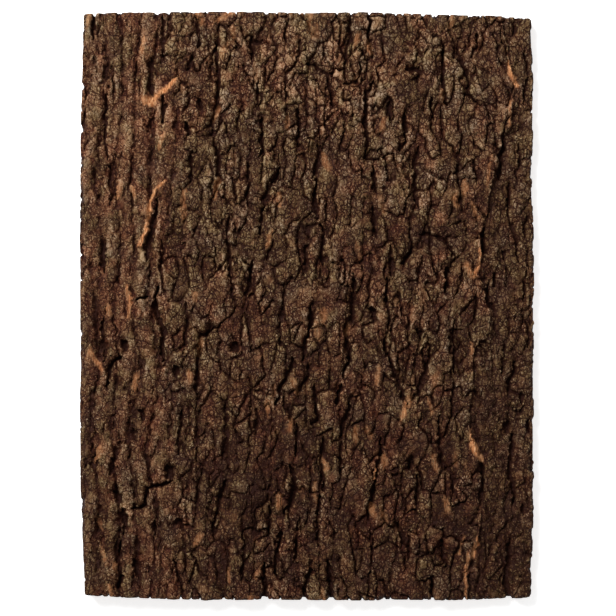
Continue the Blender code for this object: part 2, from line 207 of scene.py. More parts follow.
# Fissures of three depths in millimetres, each as its width in millimetres and its path
FISSURE_DEPTHS = (7.5, 5.0, 3.0)
DEEP_FISSURES = (
    (4.0, ((214, 42), (215, 58), (217, 75), (216, 92), (217, 105), (213, 118), (211, 136))),
    (3.5, ((216, 146), (219, 162), (218, 186), (211, 199))),
    (4.5, ((158, 198), (157, 214), (153, 228), (149, 240), (146, 251), (147, 262))),
    (4.0, ((158, 284), (155, 300), (157, 319), (163, 332), (163, 346), (162, 363))),
    (3.0, ((307, 60), (319, 69), (327, 74), (329, 92), (332, 106))),
    (2.5, ((369, 8), (370, 44), (373, 60))),
    (3.0, ((373, 80), (367, 91), (365, 110), (366, 130), (368, 146), (364, 160))),
    (3.0, ((374, 166), (375, 180), (376, 193))),
    (3.0, ((374, 206), (374, 225), (376, 238))),
    (3.0, ((251, 35), (251, 47), (250, 58))),
    (3.0, ((251, 44), (262, 40))),
    (3.0, ((297, 107), (298, 125), (298, 145))),
    (3.0, ((261, 118), (262, 134), (262, 148), (260, 158))),
    (5.0, ((279, 168), (274, 180), (267, 193), (264, 206))),
    (3.5, ((264, 206), (262, 222), (260, 236))),
    (3.0, ((249, 160), (248, 180), (246, 198), (250, 207))),
    (3.0, ((317, 178), (315, 196), (317, 218))),
    (3.5, ((322, 222), (323, 240), (322, 254), (322, 268))),
    (3.5, ((353, 274), (354, 290), (352, 305), (352, 318), (346, 326), (347, 342),
        (349, 357), (345, 368), (343, 379))),
    (4.0, ((341, 382), (339, 393), (336, 406))),
    (3.5, ((350, 400), (347, 412), (343, 424), (339, 437))),
    (3.0, ((312, 305), (311, 318), (307, 333), (305, 347), (303, 361))),
    (3.5, ((293, 358), (290, 371), (284, 380), (279, 392), (276, 406))),
    (3.0, ((308, 362), (308, 376), (301, 385), (298, 400))),
    (3.5, ((315, 384), (316, 400), (317, 416), (313, 430))),
    (3.0, ((252, 262), (249, 275), (249, 287), (245, 298))),
    (4.0, ((388, 354), (392, 368), (398, 383), (403, 396), (408, 403))),
    (3.0, ((443, 42), (443, 68), (444, 90), (447, 104))),
    (3.0, ((418, 64), (418, 80))),
    (3.0, ((405, 66), (418, 68))),
    (3.0, ((389, 100), (389, 119))),
    (3.0, ((405, 110), (406, 126), (405, 140), (399, 150))),
    (3.0, ((430, 94), (431, 107), (434, 119))),
    (5.0, ((419, 145), (416, 162), (417, 185), (418, 206))),
    (3.0, ((413, 247), (407, 256), (401, 262))),
    (3.0, ((447, 264), (446, 276), (445, 290))),
    (3.0, ((214, 329), (206, 335), (199, 338), (199, 352), (196, 370), (196, 398))),
    (3.0, ((172, 480), (160, 486), (148, 488), (144, 497), (144, 506), (130, 511))),
    (3.0, ((226, 480), (220, 495), (217, 511), (212, 524), (212, 541))),
    (5.0, ((288, 464), (295, 479), (293, 492), (289, 503), (283, 517))),
    (3.0, ((281, 530), (277, 542), (275, 556), (275, 580))),
    (3.0, ((322, 436), (323, 456), (322, 474), (324, 490))),
    (3.0, ((263, 564), (263, 584), (261, 608))),
    (4.0, ((310, 567), (307, 579), (303, 592), (301, 608))),
    (3.5, ((328, 558), (329, 575), (332, 590), (333, 608))),
    (3.0, ((380, 438), (379, 457), (374, 468), (374, 480), (370, 495), (367, 509), (368, 521))),
    (3.5, ((411, 454), (410, 470))),
    (3.0, ((442, 540), (444, 555), (448, 567))),
    (3.0, ((417, 328), (420, 340))),
    (4.0, ((371, 305), (373, 319))),
    (3.0, ((503, 138), (501, 178))),
    (4.0, ((484, 225), (482, 250))),
    (3.5, ((487, 283), (488, 300), (496, 309))),
    (3.0, ((480, 455), (482, 470), (481, 486), (478, 500))),
    (3.0, ((512, 180), (511, 190), (508, 206))),
    (3.0, ((503, 248), (504, 259))),
    (3.0, ((493, 270), (495, 286))),
    (3.0, ((516, 361), (515, 370), (509, 379), (509, 390), (517, 394))),
    (5.0, ((521, 390), (521, 403))),
    (5.0, ((508, 420), (506, 432))),
    (4.0, ((512, 433), (511, 455), (509, 473), (514, 484), (513, 507))),
    (4.5, ((511, 540), (510, 560), (508, 582), (512, 608))),
    (3.0, ((90, 8), (90, 38))),
    (4.0, ((162, 95), (163, 108), (161, 124))),
    (2.5, ((137, 301), (146, 296))),
    (5.0, ((122, 343), (125, 354))),
    (3.5, ((122, 358), (112, 364), (109, 376), (107, 392))),
    (3.0, ((191, 150), (190, 184))),
    (6.0, ((138, 410), (143, 420))),
    (6.0, ((168, 466), (169, 480))),
    (6.0, ((116, 488), (118, 506))),
    (4.0, ((122, 510), (123, 537))),
    (2.5, ((118, 540), (119, 562))),
    (4.0, ((153, 520), (153, 536))),
    (5.0, ((132, 560), (133, 577))),
    (5.0, ((118, 579), (115, 592))),
    (6.0, ((175, 366), (176, 377))),
    (5.0, ((233, 342), (235, 354))),
    (4.0, ((186, 120), (187, 136))),
    (3.0, ((199, 98), (199, 112))),
)
MIDDLING_FISSURES = (
    (2.5, ((163, 240), (162, 265), (162, 284), (164, 293))),
    (3.0, ((228, 214), (228, 240), (230, 262), (231, 285), (233, 300))),
    (2.0, ((327, 74), (335, 70), (343, 69))),
    (2.5, ((350, 14), (349, 35), (346, 48), (344, 63))),
    (2.5, ((300, 38), (297, 50), (293, 66), (285, 73), (284, 98))),
    (2.5, ((257, 80), (257, 95), (255, 108))),
    (3.0, ((319, 143), (320, 156), (316, 170), (312, 178))),
    (2.0, ((308, 238), (309, 226), (314, 223), (321, 222))),
    (3.0, ((306, 245), (305, 262), (304, 275))),
    (2.5, ((343, 258), (345, 268), (345, 280), (341, 285))),
    (2.5, ((283, 285), (284, 300), (280, 317), (279, 330), (281, 346))),
    (3.0, ((273, 240), (270, 250), (266, 259))),
    (3.0, ((387, 276), (386, 300), (389, 320), (385, 340), (386, 357))),
    (3.0, ((429, 340), (429, 352), (426, 366), (423, 378), (419, 390), (411, 401))),
    (2.5, ((457, 44), (462, 57), (467, 71), (467, 86))),
    (2.5, ((478, 30), (477, 42), (472, 54))),
    (2.5, ((464, 90), (471, 92), (481, 103))),
    (2.5, ((459, 146), (459, 166), (461, 190), (462, 208))),
    (3.0, ((391, 244), (391, 260), (391, 276))),
    (3.0, ((420, 232), (438, 234), (447, 242), (455, 256))),
    (2.5, ((186, 304), (187, 318), (186, 331), (184, 346))),
    (3.0, ((182, 410), (179, 430), (177, 455))),
    (3.0, ((226, 404), (226, 440), (222, 460))),
    (3.0, ((340, 440), (341, 460), (340, 476))),
    (3.0, ((319, 497), (317, 512), (318, 530), (317, 546))),
    (2.5, ((270, 504), (269, 520), (267, 536))),
    (2.5, ((296, 520), (295, 541), (294, 561))),
    (2.5, ((242, 530), (243, 545), (241, 562), (241, 582))),
    (2.0, ((242, 530), (250, 528), (257, 534))),
    (2.5, ((439, 410), (439, 430), (440, 446), (442, 460), (452, 475), (454, 491), (458, 501))),
    (3.0, ((417, 474), (417, 490), (418, 506))),
    (3.0, ((386, 524), (397, 527), (402, 538), (409, 549), (410, 563))),
    (3.0, ((433, 578), (435, 608))),
    (2.5, ((297, 424), (295, 443), (296, 457))),
    (3.0, ((257, 408), (257, 421), (255, 436))),
    (3.0, ((288, 406), (290, 421))),
    (2.0, ((454, 318), (453, 345), (454, 372))),
    (2.0, ((361, 62), (360, 75), (353, 82), (342, 84))),
    (2.5, ((507, 206), (512, 222), (517, 238), (518, 262))),
    (2.5, ((506, 262), (507, 285))),
    (2.0, ((520, 140), (521, 156), (519, 176))),
    (2.0, ((517, 19), (517, 30))),
    (2.5, ((527, 46), (527, 60), (530, 71), (525, 77), (525, 102))),
    (2.5, ((525, 268), (525, 285), (522, 298))),
    (2.5, ((526, 320), (529, 335), (527, 346))),
    (2.5, ((505, 344), (504, 360), (502, 373))),
    (3.0, ((511, 404), (518, 414), (524, 404))),
    (2.0, ((523, 503), (523, 516))),
    (3.0, ((527, 419), (528, 432))),
    (3.0, ((109, 66), (112, 84), (113, 99))),
    (2.5, ((92, 56), (94, 73))),
    (6.0, ((150, 58), (150, 76), (151, 96))),
    (2.5, ((160, 15), (161, 40), (162, 60))),
    (2.5, ((196, 18), (197, 50))),
    (5.0, ((192, 56), (186, 70))),
    (2.5, ((111, 165), (110, 185), (111, 206))),
    (2.5, ((104, 95), (105, 118), (104, 145), (108, 160))),
    (2.5, ((103, 244), (104, 275))),
    (3.0, ((103, 318), (103, 362))),
    (4.0, ((133, 428), (135, 442))),
    (4.0, ((121, 442), (113, 462), (110, 480))),
    (3.0, ((97, 518), (96, 537))),
    (7.0, ((176, 518), (180, 530))),
    (2.5, ((172, 560), (176, 577), (180, 593))),
)
SHALLOW_FISSURES = (
    (2.0, ((373, 538), (371, 562), (369, 598))),
    (2.0, ((273, 15), (273, 42), (277, 48))),
    (2.0, ((528, 208), (526, 235))),
)

# Patches that differ from the bark round them: the middle in pixels, half the width and half the length
# in millimetres, then how much brighter and how much warmer they are
PATCHES = (
    (307, 90, 12, 9, 0.5, 0.7),
    (363, 171, 6, 5, 0.6, 0.8),
    (439, 215, 7, 7, 0.9, 1.0),
    (394, 227, 6, 3, 0.6, 0.9),
    (440, 253, 9, 5, 0.8, 1.0),
    (425, 326, 7, 6, 0.7, 0.6),
    (217, 275, 4, 6, 1.1, 0.7),
    (176, 230, 5, 4, 0.7, 0.8),
    (268, 390, 4, 9, 0.6, 0.6),
    (375, 254, 3, 4, 0.9, 0.9),
    (170, 444, 5, 9, 0.5, 0.9),
    (165, 588, 8, 12, 0.2, 1.0),
    (166, 555, 7, 14, 0.2, 1.0),
    (473, 289, 11, 11, 0.3, 0.8),
    (442, 347, 9, 8, 0.4, 0.4),
    (474, 103, 7, 3, 0.6, 0.6),
    (155, 26, 4, 6, 0.5, 0.7),
    (141, 70, 4, 30, 0.4, 0.7),
    (88, 315, 6, 22, 0.3, 0.4),
    (436, 539, 4, 3, 0.7, 0.8),
    (305, 540, 6, 14, 0.3, 0.6),
    (391, 508, 8, 7, 0.4, 0.6),
    (415, 568, 4, 7, 0.6, 0.8),
    (94, 25, 4, 10, 0.4, 0.6),
    (122, 320, 4, 15, 0.3, 1.0),
    (164, 370, 3, 4, 0.8, 0.8),
    (279, 553, 3, 8, 0.4, 0.8),
    (307, 467, 7, 8, 0.4, 0.5),
    (345, 107, 4, 6, 0.5, 0.8),
    (322, 130, 3, 6, 0.5, 0.8),
    (433, 180, 7, 32, 0.6, 0.7),
    (405, 180, 7, 26, 0.4, 0.6),
    (430, 236, 28, 14, -0.9, -0.6),
    (210, 480, 22, 22, -0.8, -0.5),
    (265, 495, 22, 15, -0.5, -0.4),
    (352, 520, 17, 10, -0.8, -0.5),
    (118, 549, 17, 10, -0.8, -0.4),
    (308, 32, 7, 12, -0.5, -0.8),
    (314, 104, 5, 10, -0.8, -0.4),
    (288, 107, 5, 6, -0.8, -0.4),
    (215, 575, 20, 20, -0.5, -0.4),
    (137, 425, 9, 16, -0.7, -0.5),
    (405, 90, 12, 12, -0.4, -0.8),
    (405, 30, 9, 12, -0.4, -0.8),
    (262, 470, 55, 60, -0.7, -0.2),
    (455, 130, 30, 70, 0.35, 0.0),
    (255, 235, 25, 30, 0.5, 0.0),
    (125, 390, 45, 90, 0.15, 0.0),
    (90, 230, 14, 130, -0.35, 0.0),
    (88, 370, 12, 40, -0.3, 0.0),
    (90, 575, 14, 25, 0.35, -0.3),
    (90, 30, 14, 20, 0.25, -0.3),
    (405, 570, 25, 25, 0.7, 0.0),
    (355, 470, 25, 25, 0.5, 0.0),
    (207, 80, 20, 22, 0.35, 0.0),
    (207, 235, 20, 28, 0.4, 0.0),
    (207, 375, 20, 28, 0.4, 0.0),
    (150, 270, 25, 50, 0.25, 0.0),
    (400, 455, 130, 150, -0.3, 0.0),
    (505, 540, 30, 60, -0.3, 0.0),
    (305, 240, 22, 45, -0.55, 0.0),
    (235, 540, 40, 50, -0.35, 0.0),
    (207, 150, 22, 30, -0.35, 0.0),
    (255, 470, 30, 25, -0.3, 0.0),
    (285, 380, 50, 35, -0.35, 0.0),
    (430, 28, 90, 22, -0.25, 0.0),
    (255, 190, 85, 80, 0.0, -0.8),
    (95, 450, 20, 50, 0.0, -0.5),
    (255, 530, 30, 45, 0.0, -0.4),
    (158, 430, 25, 30, 0.25, 0.0),
    (305, 520, 25, 22, 0.3, 0.0),
    (405, 330, 22, 22, 0.35, 0.0),
    (452, 425, 22, 22, 0.3, 0.0),
    (130, 545, 40, 40, 0.2, 0.0),
)

# Slivers of raw cork laid bare where bark broke away: how bare, then a path whose points have widths in
# millimetres
SLIVERS = (
    (1.0, ((152, 98, 3.0), (158, 94, 4.0), (164, 89, 4.5), (170, 84, 3.5), (174, 80, 3.0), (177, 77, 1.0))),
    (0.65, ((145, 101, 9.0), (149, 101, 11.0), (152, 101, 8.0))),
    (1.0, ((164, 181, 1.0), (161, 187, 3.0), (156, 190, 3.0), (152, 197, 3.0), (150, 206, 3.0),
        (149, 216, 3.5), (147, 226, 3.0), (145, 235, 2.5), (141, 244, 3.0), (139, 247, 2.0))),
    (1.0, ((509, 56, 0.8), (509, 63, 3.5), (511, 70, 5.0), (514, 76, 5.5), (516, 81, 4.0))),
    (0.6, ((510, 97, 1.6), (509, 110, 1.6), (509, 122, 1.6))),
    (0.4, ((494, 152, 1.0), (490, 163, 2.0), (489, 174, 2.0), (489, 188, 1.0))),
    (0.8, ((478, 243, 1.0), (480, 252, 3.0), (479, 262, 3.0), (476, 270, 3.5), (474, 276, 3.5))),
    (0.5, ((466, 262, 3.0), (469, 270, 6.0), (471, 275, 4.0))),
    (0.9, ((470, 429, 0.8), (471, 438, 3.5), (473, 446, 7.0), (476, 452, 6.0), (480, 457, 4.5),
        (482, 461, 2.5))),
    (0.85, ((477, 537, 0.8), (477, 545, 3.5), (475, 551, 4.0), (473, 556, 3.0))),
    (0.6, ((469, 553, 3.0), (468, 560, 3.5))),
    (0.6, ((468, 563, 3.0), (467, 572, 3.0), (467, 584, 1.6), (467, 598, 1.6))),
    (0.5, ((466, 536, 1.4), (462, 544, 1.4), (459, 553, 1.4))),
    (0.7, ((406, 402, 3.0), (404, 411, 4.5), (400, 419, 2.0))),
    (0.5, ((210, 25, 1.0), (218, 19, 4.0), (224, 15, 5.0), (232, 14, 3.0))),
    (0.6, ((126, 286, 2.0), (130, 300, 5.0), (129, 318, 3.0))),
    (0.5, ((471, 340, 1.0), (471, 346, 2.5), (471, 353, 1.0))),
    (0.6, ((374, 467, 1.5), (374, 479, 2.5))),
    (0.5, ((89, 352, 3.0), (95, 362, 5.0), (101, 371, 3.0))),
    (0.4, ((272, 231, 2.0), (267, 246, 4.0))),
)


def ease(share):
    # From 0 to 1 with soft ends
    share = np.clip(share, 0.0, 1.0)
    return share * share * (3.0 - 2.0 * share)


def scatter(column, row, seed):
    # An even, repeatable number from 0 to 1 for each cell of a grid
    mask = 0xFFFFFFFF
    mixed = column.astype(np.int64) * COLUMN_MIXER + row.astype(np.int64) * ROW_MIXER + seed * SEED_MIXER
    mixed = mixed & mask
    mixed = ((mixed ^ (mixed >> 13)) * LAST_MIXER) & mask
    mixed = mixed ^ (mixed >> 16)
    return (mixed & 0xFFFFFF) / 0xFFFFFF


def swell(x, y, size, seed):
    # Smooth bumps of the given size, from -1 to 1
    across, along = x / size[0], y / size[1]
    column, row = np.floor(across), np.floor(along)
    u, v = ease(across - column), ease(along - row)
    low = scatter(column, row, seed) * (1 - u) + scatter(column + 1, row, seed) * u
    high = scatter(column, row + 1, seed) * (1 - u) + scatter(column + 1, row + 1, seed) * u
    return 2 * (low * (1 - v) + high * v) - 1


def rough(x, y, size, seed, octaves=3, fade=0.5):
    # Bumps on bumps, each octave half the size of the last and turned a little
    total, share, whole = 0.0, 1.0, 0.0
    stretch = size[0] / size[1]
    for octave in range(octaves):
        turn = OCTAVE_TURN * octave
        turned_x = x * math.cos(turn) - y * stretch * math.sin(turn)
        turned_y = x / stretch * math.sin(turn) + y * math.cos(turn)
        finer = (size[0] / 2 ** octave, size[1] / 2 ** octave)
        total = total + share * swell(turned_x, turned_y, finer, seed + octave)
        whole += share
        share *= fade
    return total / whole


def shake(number, factor):
    # Another number from 0 to 1 for the same plate
    return np.modf(number * factor)[0]


def cells_round(column, row):
    # The cell that a place is in and the eight round it, each as its column and row
    for row_shift in (-1, 0, 1):
        for column_shift in (-1, 0, 1):
            yield column + column_shift, row + row_shift


def scales(x, y, size, seed, level, tilt, crown, depth, width, open_share):
    # Irregular scales with uneven grooves between. Each is made of a few cells of one kind, run together.
    # Gives their height and their kind's rank, from -1 to 1
    across, along = x / size[0], y / size[1]
    column, row = np.floor(across), np.floor(along)
    nearest = np.full(x.shape, np.inf)
    near_u, near_v, mark = (np.zeros(x.shape) for _ in range(3))
    cells = []
    for c, r in cells_round(column, row):
        u = c + scatter(c, r, seed)
        v = r + scatter(c, r, seed + 1)
        number = scatter(c, r, seed + 2)
        cells.append((u, v, number))
        reach = (u - across) ** 2 + (v - along) ** 2
        wins = reach < nearest
        nearest = np.where(wins, reach, nearest)
        near_u = np.where(wins, u, near_u)
        near_v = np.where(wins, v, near_v)
        mark = np.where(wins, number, mark)

    # How far each place is from the nearest cell of another kind
    kind = np.floor(mark * SCALE_KINDS)
    border = np.full(x.shape, size[0])
    for u, v, number in cells:
        du, dv = u - near_u, v - near_v
        gap = ((near_u + u) / 2 - across) * du + ((near_v + v) / 2 - along) * dv
        gap = gap / np.sqrt((du / size[0]) ** 2 + (dv / size[1]) ** 2 + 1e-9)
        border = np.where(np.floor(number * SCALE_KINDS) != kind, np.minimum(border, gap), border)

    # Each cell leans its own way, and grooves open and close along the scales
    lean = (across - near_u) * (2 * shake(mark, 89.0) - 1) + (along - near_v) * (2 * shake(mark, 97.0) - 1)
    openness = ease(0.5 + open_share + 1.2 * swell(x, y, (size[0] * 0.8, size[1] * 0.8), seed + 8))
    groove = ease(1 - border / width) * openness
    rounded = 1 - (1 - np.clip(border / (0.4 * size[0]), 0, 1)) ** 2
    rank = 2 * kind / (SCALE_KINDS - 1) - 1
    return level * rank + tilt * lean + crown * rounded - depth * groove, rank


def flakes(x, y, size, seed, level, tilt, crown, gap, turn, ragged=0.35):
    # Ragged flakes lying over each other: the highest at each place shows, and gaps are left between.
    # Gives their height and each flake's own number from 0 to 1
    across, along = x / size[0], y / size[1]
    column, row = np.floor(across), np.floor(along)
    fray = ragged * rough(x, y, (size[0] * 0.45, size[1] * 0.4), seed + 9, 3, 0.65)
    top = np.full(x.shape, -gap)
    mark = np.zeros(x.shape)
    for c, r in cells_round(column, row):
        u = across - (c + scatter(c, r, seed))
        v = along - (r + scatter(c, r, seed + 1))
        number = scatter(c, r, seed + 2)
        angle = turn * (2 * scatter(c, r, seed + 3) - 1)
        turned_u = u * np.cos(angle) - v * (size[1] / size[0]) * np.sin(angle)
        turned_v = v * np.cos(angle) + u * (size[0] / size[1]) * np.sin(angle)
        width = 0.62 + 0.33 * scatter(c, r, seed + 4)
        length = 0.62 + 0.33 * scatter(c, r, seed + 5)
        reach = np.sqrt((turned_u / width) ** 2 + (turned_v / length) ** 2) + fray
        lean = (2 * scatter(c, r, seed + 6) - 1) * turned_u + (2 * scatter(c, r, seed + 7) - 1) * turned_v
        flake = level * (2 * number - 1) + tilt * lean + crown * (1 - reach ** 2)
        wins = (reach < 1) & (flake > top)
        top = np.where(wins, flake, top)
        mark = np.where(wins, number, mark)
    return top, mark


def on_slab(points):
    # Places in the photograph's pixels, as places on the slab
    pixels = np.array(points, dtype=float)
    x = (pixels[:, 0] - (PHOTO_LEFT + PHOTO_RIGHT) / 2) * SLAB_WIDTH / (PHOTO_RIGHT - PHOTO_LEFT)
    y = ((PHOTO_TOP + PHOTO_BOTTOM) / 2 - pixels[:, 1]) * SLAB_LENGTH / (PHOTO_BOTTOM - PHOTO_TOP)
    return x, y


def across_at(line, y):
    # The x of a lengthwise line at each y
    line_x, line_y = on_slab(line)
    return np.interp(y, line_y[::-1], line_x[::-1])


def along_at(line, x):
    # The y of a crosswise line at each x
    line_x, line_y = on_slab(line)
    return np.interp(x, line_x, line_y)


def distance_to_path(x, y, points):
    # How far each place is from a path, and how far along the path from 0 to 1
    path_x, path_y = on_slab(points)
    nearest = np.full(x.shape, np.inf)
    along = np.zeros(x.shape)
    for i in range(len(points) - 1):
        run_x, run_y = path_x[i + 1] - path_x[i], path_y[i + 1] - path_y[i]
        share = ((x - path_x[i]) * run_x + (y - path_y[i]) * run_y) / (run_x ** 2 + run_y ** 2)
        share = np.clip(share, 0.0, 1.0)
        gap = np.sqrt((x - path_x[i] - share * run_x) ** 2 + (y - path_y[i] - share * run_y) ** 2)
        along = np.where(gap < nearest, (i + share) / (len(points) - 1), along)
        nearest = np.minimum(nearest, gap)
    return nearest, along


def near_path(bark, points, reach):
    # The rows and columns of the grid that lie near a path
    path_x, path_y = on_slab(points)
    x, y = bark.x[0], bark.y[:, 0]
    columns = np.nonzero((x > path_x.min() - reach) & (x < path_x.max() + reach))[0]
    rows = np.nonzero((y > path_y.min() - reach) & (y < path_y.max() + reach))[0]
    return slice(rows[0], rows[-1] + 1), slice(columns[0], columns[-1] + 1)


def smooth(field, span):
    # A running mean over the grid, taken twice each way
    cells = round(span / FACE_STEP)
    window = 2 * cells + 1
    for axis in (0, 1):
        for _ in range(2):
            pad = [(0, 0), (0, 0)]
            pad[axis] = (cells + 1, cells)
            total = np.cumsum(np.pad(field, pad, mode="edge"), axis=axis)
            if axis == 0:
                field = (total[window:] - total[:-window]) / window
            else:
                field = (total[:, window:] - total[:, :-window]) / window
    return field


def lay_out_bark(x, y):
    # The places of the face, how raggedly bark breaks there, and which kind of bark is where. A layer
    # laid out by the torn places has ragged edges, and one by the near places has less ragged ones
    bark = SimpleNamespace(x=x, y=y)
    bark.jag_x = MM * (1.8 * rough(x, y, TEARS, 61, 3, 0.6) + 0.9 * swell(x, y, FINE_TEARS, 65))
    bark.jag_y = MM * (2.4 * rough(x, y, TEARS, 71, 3, 0.6) + 0.9 * swell(x, y, FINE_TEARS, 75))
    bark.torn = (x + bark.jag_x, y + bark.jag_y)
    bark.near = (x + 0.6 * bark.jag_x, y + 0.6 * bark.jag_y)
    bark.uneven = 1 + 0.7 * rough(x, y, (5 * MM, 8 * MM), 201, 2)
    wander = FIBRE_WANDER * swell(x, y, (60 * MM, 60 * MM), 5)
    bark.fibrous = ease(0.5 + (FIBRE_END - x + wander) / FIBRE_BLEND)
    bark.stripped = ease((bark.torn[0] - across_at(STEP_LINE, bark.torn[1])) / STEP_WIDTH)
    return bark


def add_shared_layers(bark):
    # Layers that more than one kind of bark has, and the rank or mark that a scale's shade follows
    x, y = bark.x, bark.y
    bent = (
        bark.torn[0] + 5 * MM * rough(x, y, BENDS, 11, 2),
        bark.torn[1] + 8 * MM * rough(x, y, BENDS, 13, 2),
    )
    bark.lumps = LUMP_HEIGHT * rough(*bent, LUMPS, 15, 3, 0.5)
    bark.big, bark.big_rank = scales(
        *bent, BIG_SCALES, seed=21,
        level=1.6, tilt=1.4, crown=2.6, depth=3.0, width=2.0 * MM, open_share=0.3,
    )
    bark.middle, bark.middle_rank = scales(
        *bark.torn, MIDDLE_SCALES, seed=121,
        level=0.8, tilt=1.0, crown=1.5, depth=1.1, width=1.0 * MM, open_share=0.1,
    )
    bark.small, bark.small_rank = scales(
        *bark.near, SMALL_SCALES, seed=131,
        level=0.4, tilt=0.6, crown=0.6, depth=0.4, width=0.7 * MM, open_share=0.0,
    )
    bark.loose, bark.loose_mark = flakes(
        *bark.near, LOOSE_FLAKES, seed=171, level=0.7, tilt=0.8, crown=0.9, gap=0.7, turn=0.8
    )
    bark.splinters, bark.splinter_mark = flakes(
        bark.near[0], y, SPLINTERS, seed=341, level=1.2, tilt=1.6, crown=0.8, gap=1.4, turn=0.4
    )
    crack_line = ease(1 - np.abs(rough(*bark.torn, CRACKS, 401, 3, 0.5)) / 0.08)
    crack_keep = ease(0.2 + swell(x, y, (27 * MM, 60 * MM), 451) / 0.3)
    bark.crack = CRACK_DEPTH * crack_keep * crack_line
    bark.blotch = rough(*bark.torn, (12 * MM, 20 * MM), 511, 3, 0.6)


def scaly_bark(bark):
    # The middle: scales of three sizes on broad lumps, with loose flakes and crumbs. Gives its height and
    # its shade, as the other kinds do
    crumbs = CRUMB_HEIGHT * rough(bark.x, bark.y, CRUMBS, 45, 2, 0.6)
    broken = 0.3 + 0.7 * ease(0.5 + 1.1 * rough(bark.x, bark.y, (45 * MM, 70 * MM), 541, 2))
    layers = broken * (bark.middle + 0.5 * bark.small + bark.loose)
    height = bark.lumps + bark.big + layers + crumbs - bark.crack
    shade = 0.2 * bark.big_rank + 0.2 * bark.middle_rank + 0.15 * bark.small_rank
    shade = shade + 0.6 * (bark.loose_mark - 0.5) + 0.9 * bark.blotch
    return height, shade


def fibrous_bark(bark):
    # The left side: long ridges, with splints and splinters lying along them
    x, y = bark.x, bark.y
    fibre_x = x + 6 * MM * swell(x, y, (40 * MM, 70 * MM), 31) + 0.7 * bark.jag_x
    phase = (fibre_x + bark.jag_x) / RIDGE_WIDTH + 0.4 * rough(x, y, (50 * MM, 120 * MM), 32, 2)
    ridges = 2 * np.sqrt(np.abs(np.sin(math.pi * phase))) - 1
    strands = 1 - 2 * np.abs(rough(fibre_x, y, STRANDS, 34, 2, 0.6))
    splints, splint_mark = flakes(
        fibre_x, y, SPLINTS, seed=331, level=1.8, tilt=2.4, crown=1.6, gap=2.2, turn=0.3
    )
    height = RIDGE_HEIGHT * ridges + splints + bark.splinters + 0.4 * bark.middle + 0.7 * bark.small
    height = height + STRAND_HEIGHT * strands - 0.7 * bark.crack
    # The ridges' crests are painted paler and their valleys darker: painted highlight and painted shade
    shade = 0.9 * (splint_mark - 0.5) + 0.8 * (bark.splinter_mark - 0.5)
    shade = shade + 0.6 * bark.blotch + 0.6 * ridges - 0.65
    return height, shade


def stripped_bark(bark):
    # The right side, past the step: lower, with smoother scales
    bare, bare_rank = scales(
        *bark.torn, BARE_SCALES, seed=181,
        level=0.5, tilt=0.8, crown=0.8, depth=1.4, width=1.2 * MM, open_share=0.1,
    )
    height = 0.6 * bark.lumps + 0.6 * bark.big + bare + 0.4 * bark.middle + 0.8 * bark.small
    height = height - 0.7 * bark.crack - STRIP_DROP
    shade = 0.2 * bare_rank + 0.15 * bark.small_rank + 0.4 * bark.blotch + 0.1
    return height, shade


def by_kind(bark, scaly, fibrous, stripped):
    # Each kind of bark's value in its own place, running into the next
    value = scaly * (1 - bark.fibrous) + fibrous * bark.fibrous
    return value * (1 - bark.stripped) + stripped * bark.stripped


def all_fissures():
    # Each fissure's depth and width in millimetres, and its path
    for depth, fissures in zip(FISSURE_DEPTHS, (DEEP_FISSURES, MIDDLING_FISSURES, SHALLOW_FISSURES)):
        for width, points in fissures:
            yield depth, width, points


def cut_fissures(bark):
    # How deep the fissures cut, and how far the bark sinks towards them
    cut = np.zeros(bark.x.shape)
    flank = np.zeros(bark.x.shape)
    for depth, width, points in all_fissures():
        area = near_path(bark, points, FISSURE_REACH)
        ragged_x = bark.x[area] + 1.4 * bark.jag_x[area]
        ragged_y = bark.y[area] + 1.1 * bark.jag_y[area]
        gap, along = distance_to_path(ragged_x, ragged_y, points)
        tapered = 1 - (2 * along - 1) ** 4
        reach = (width * 0.75 * bark.uneven[area] * tapered + 0.6) * MM
        cut[area] = np.maximum(cut[area], 1.3 * depth * ease(1.3 * (1 - gap / reach)))
        flank[area] = np.maximum(flank[area], 0.5 * depth * ease(1 - gap / (reach + FISSURE_FLANK)))
    return cut, flank


def lay_cork_bare(bark):
    # How bare the raw cork is, and the warm edge round it
    raw = np.zeros(bark.x.shape)
    edge = np.zeros(bark.x.shape)
    for strength, points in SLIVERS:
        path = [point[:2] for point in points]
        area = near_path(bark, path, SLIVER_REACH)
        ragged_x = bark.x[area] + bark.jag_x[area]
        ragged_y = bark.y[area] + bark.jag_y[area]
        gap, along = distance_to_path(ragged_x, ragged_y, path)
        width = np.interp(along, np.linspace(0, 1, len(points)), [point[2] for point in points])
        reach = 0.5 * width * (0.8 + 0.4 * bark.uneven[area]) * MM
        raw[area] = np.maximum(raw[area], strength * ease(2.5 * (1 - gap / reach)))
        edge[area] = np.maximum(edge[area], strength * ease(1 - gap / (reach + SLIVER_EDGE)))
    return raw, edge


def painted_light_falloff(x, y):
    # Painted light falloff: the bark is painted palest at its upper left corner, towards the lamp, and
    # darkest at its lower right one
    return 0.5 * (y / SLAB_LENGTH * 2) - 0.2 * (x / SLAB_WIDTH * 2)


def add_patches(bark, shade, warmth):
    # Patches with soft, ragged edges
    for px, py, half_x, half_y, brighter, warmer in PATCHES:
        middle_x, middle_y = on_slab(((px, py),))
        away_x = (bark.x + 1.5 * bark.jag_x - middle_x[0]) / (half_x * MM)
        away_y = (bark.y + 1.5 * bark.jag_y - middle_y[0]) / (half_y * MM)
        inside = ease(2.2 * (1.15 - np.sqrt(away_x ** 2 + away_y ** 2)))
        shade = shade + brighter * inside
        warmth = warmth + 0.7 * warmer * inside
    return shade, warmth


